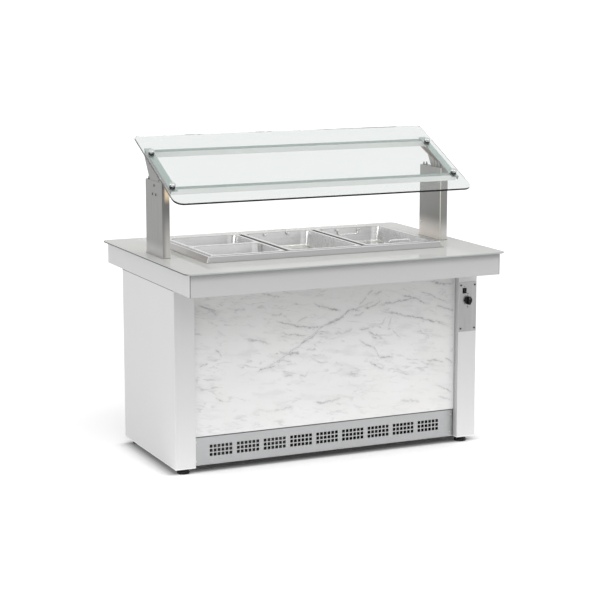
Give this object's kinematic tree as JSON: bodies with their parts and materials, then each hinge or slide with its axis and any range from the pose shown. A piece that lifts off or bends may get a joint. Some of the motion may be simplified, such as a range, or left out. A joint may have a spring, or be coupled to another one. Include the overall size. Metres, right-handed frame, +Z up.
{
  "type": "refrigerated buffet table",
  "caption": "Refrigerated buffet table with a cold well of lift-out pans, a sloped glass canopy with lamp on steel posts, marble-look panels and air grilles.",
  "frame": {"origin": "on the floor, under the middle of the table top", "axes": "+X along the table to the right seen from its front, -Y to the front, +Z up"},
  "size_m": [1.414, 1.018, 1.3221],
  "materials": {
    "white_casing": "white satin paint on sheet steel",
    "white_board": "white satin laminate on board",
    "marble_panel": "white and grey marble-look laminate on board",
    "counter_glass": "pale back-painted tempered glass, polished",
    "canopy_glass": "clear tempered glass with polished edges",
    "brushed_steel": "brushed stainless steel",
    "bright_steel": "bright plated steel",
    "handle_wire": "polished stainless wire",
    "black_plastic": "black moulded plastic",
    "foot_plastic": "black moulded plastic",
    "clamp_rubber": "grey rubber washer",
    "foam": "rigid insulating foam",
    "deck_wood": "white-faced board",
    "galvanised_steel": "galvanised sheet steel",
    "black_enamel": "black enamel",
    "fin_aluminium": "plain aluminium",
    "copper_pipe": "drawn copper pipe",
    "lamp_diffuser": "warm white diffuser",
    "wire_sheath": "insulated wires in several colours",
    "drain_plastic": "grey plastic pipe"
  },
  "bodies": {
    "table": {"apron_front": "white_board", "apron_left": "white_board", "apron_rear": "white_board", "apron_right": "white_board", "base_tray": "galvanised_steel", "bracket_bolts": "bright_steel", "canopy_glass": "canopy_glass", "clamp_gaskets": "clamp_rubber", "clamp_knobs": "bright_steel", "compressor": "black_enamel", "condenser": "fin_aluminium", "control_plate": "brushed_steel", "cover_screws": "bright_steel", "deck_board": "deck_wood", "divider_bars": "brushed_steel", "drain_pipe": "drain_plastic", "evaporator_coil": "copper_pipe", "fan_motor": "black_enamel", "front_grille": "brushed_steel", "front_panel": "marble_panel", "front_rail": "brushed_steel", "lamp_diffuser": "lamp_diffuser", "lamp_housing": "fin_aluminium", "lamp_wires": "wire_sheath", "left_bracket": "brushed_steel", "left_post": "brushed_steel", "left_side_casing": "white_casing", "post_anchor_bolts": "bright_steel", "post_covers": "brushed_steel", "post_top_studs": "bright_steel", "power_gland": "black_plastic", "rear_grille": "brushed_steel", "rear_panel": "marble_panel", "rear_rail": "brushed_steel", "refrigerant_lines": "copper_pipe", "right_bracket": "brushed_steel", "right_post": "brushed_steel", "right_side_casing": "white_casing", "switch_housing": "black_plastic", "thermostat_body": "black_plastic", "top_frame": "galvanised_steel", "top_plate": "counter_glass", "well_collar": "brushed_steel", "well_insulation": "foam", "well_tank": "brushed_steel"},
    "pan_left_front": {"pan_left_front": "brushed_steel"},
    "pan_left_rear": {"pan_left_rear": "brushed_steel"},
    "pan_center": {"pan_center": "brushed_steel"},
    "pan_right": {"pan_right": "brushed_steel"},
    "handle_center_front": {"handle_center_front": "handle_wire"},
    "handle_center_rear": {"handle_center_rear": "handle_wire"},
    "handle_right_front": {"handle_right_front": "handle_wire"},
    "handle_right_rear": {"handle_right_rear": "handle_wire"},
    "foot_front_left": {"foot_front_left": "foot_plastic"},
    "foot_front_right": {"foot_front_right": "foot_plastic"},
    "foot_rear_left": {"foot_rear_left": "foot_plastic"},
    "foot_rear_right": {"foot_rear_right": "foot_plastic"},
    "switch_rocker": {"switch_rocker": "black_plastic"},
    "thermostat_knob": {"thermostat_knob": "black_plastic"},
    "fan_blade": {"fan_blade": "fin_aluminium"}
  },
  "joints": [
    {"name": "pan_left_front_lift", "type": "slide", "parent": "table", "child": "pan_left_front", "axis": [0, 0, 1], "range_m": [0, 0.11]},
    {"name": "pan_left_rear_lift", "type": "slide", "parent": "table", "child": "pan_left_rear", "axis": [0, 0, 1], "range_m": [0, 0.11]},
    {"name": "pan_center_lift", "type": "slide", "parent": "table", "child": "pan_center", "axis": [0, 0, 1], "range_m": [0, 0.11]},
    {"name": "pan_right_lift", "type": "slide", "parent": "table", "child": "pan_right", "axis": [0, 0, 1], "range_m": [0, 0.11]},
    {"name": "handle_center_front_fold", "type": "hinge", "parent": "pan_center", "child": "handle_center_front", "pos_m": [0, -0.24332, 0.8683], "axis": [1, 0, 0], "range_deg": [0, 188]},
    {"name": "handle_center_rear_fold", "type": "hinge", "parent": "pan_center", "child": "handle_center_rear", "pos_m": [0, 0.24332, 0.8683], "axis": [1, 0, 0], "range_deg": [0, 188]},
    {"name": "handle_right_front_fold", "type": "hinge", "parent": "pan_right", "child": "handle_right_front", "pos_m": [0.345, -0.24332, 0.8683], "axis": [-1, 0, 0], "range_deg": [0, 188]},
    {"name": "handle_right_rear_fold", "type": "hinge", "parent": "pan_right", "child": "handle_right_rear", "pos_m": [0.345, 0.24332, 0.8683], "axis": [-1, 0, 0], "range_deg": [0, 188]},
    {"name": "switch_rocker_tilt", "type": "hinge", "parent": "table", "child": "switch_rocker", "pos_m": [0.6255, -0.304, 0.6615], "axis": [1, 0, 0], "range_deg": [0, 16]},
    {"name": "thermostat_knob_turn", "type": "hinge", "parent": "table", "child": "thermostat_knob", "pos_m": [0.6415, -0.317, 0.6195], "axis": [0, 1, 0], "range_deg": [0, 300]},
    {"name": "fan_blade_spin", "type": "hinge", "parent": "table", "child": "fan_blade", "pos_m": [0, -0.14, 0.152], "axis": [0, 1, 0], "continuous": true},
    {"name": "foot_front_left_level", "type": "slide", "parent": "table", "child": "foot_front_left", "axis": [0, 0, -1], "range_m": [0, 0.015]},
    {"name": "foot_front_right_level", "type": "slide", "parent": "table", "child": "foot_front_right", "axis": [0, 0, -1], "range_m": [0, 0.015]},
    {"name": "foot_rear_left_level", "type": "slide", "parent": "table", "child": "foot_rear_left", "axis": [0, 0, -1], "range_m": [0, 0.015]},
    {"name": "foot_rear_right_level", "type": "slide", "parent": "table", "child": "foot_rear_right", "axis": [0, 0, -1], "range_m": [0, 0.015]}
  ]
}
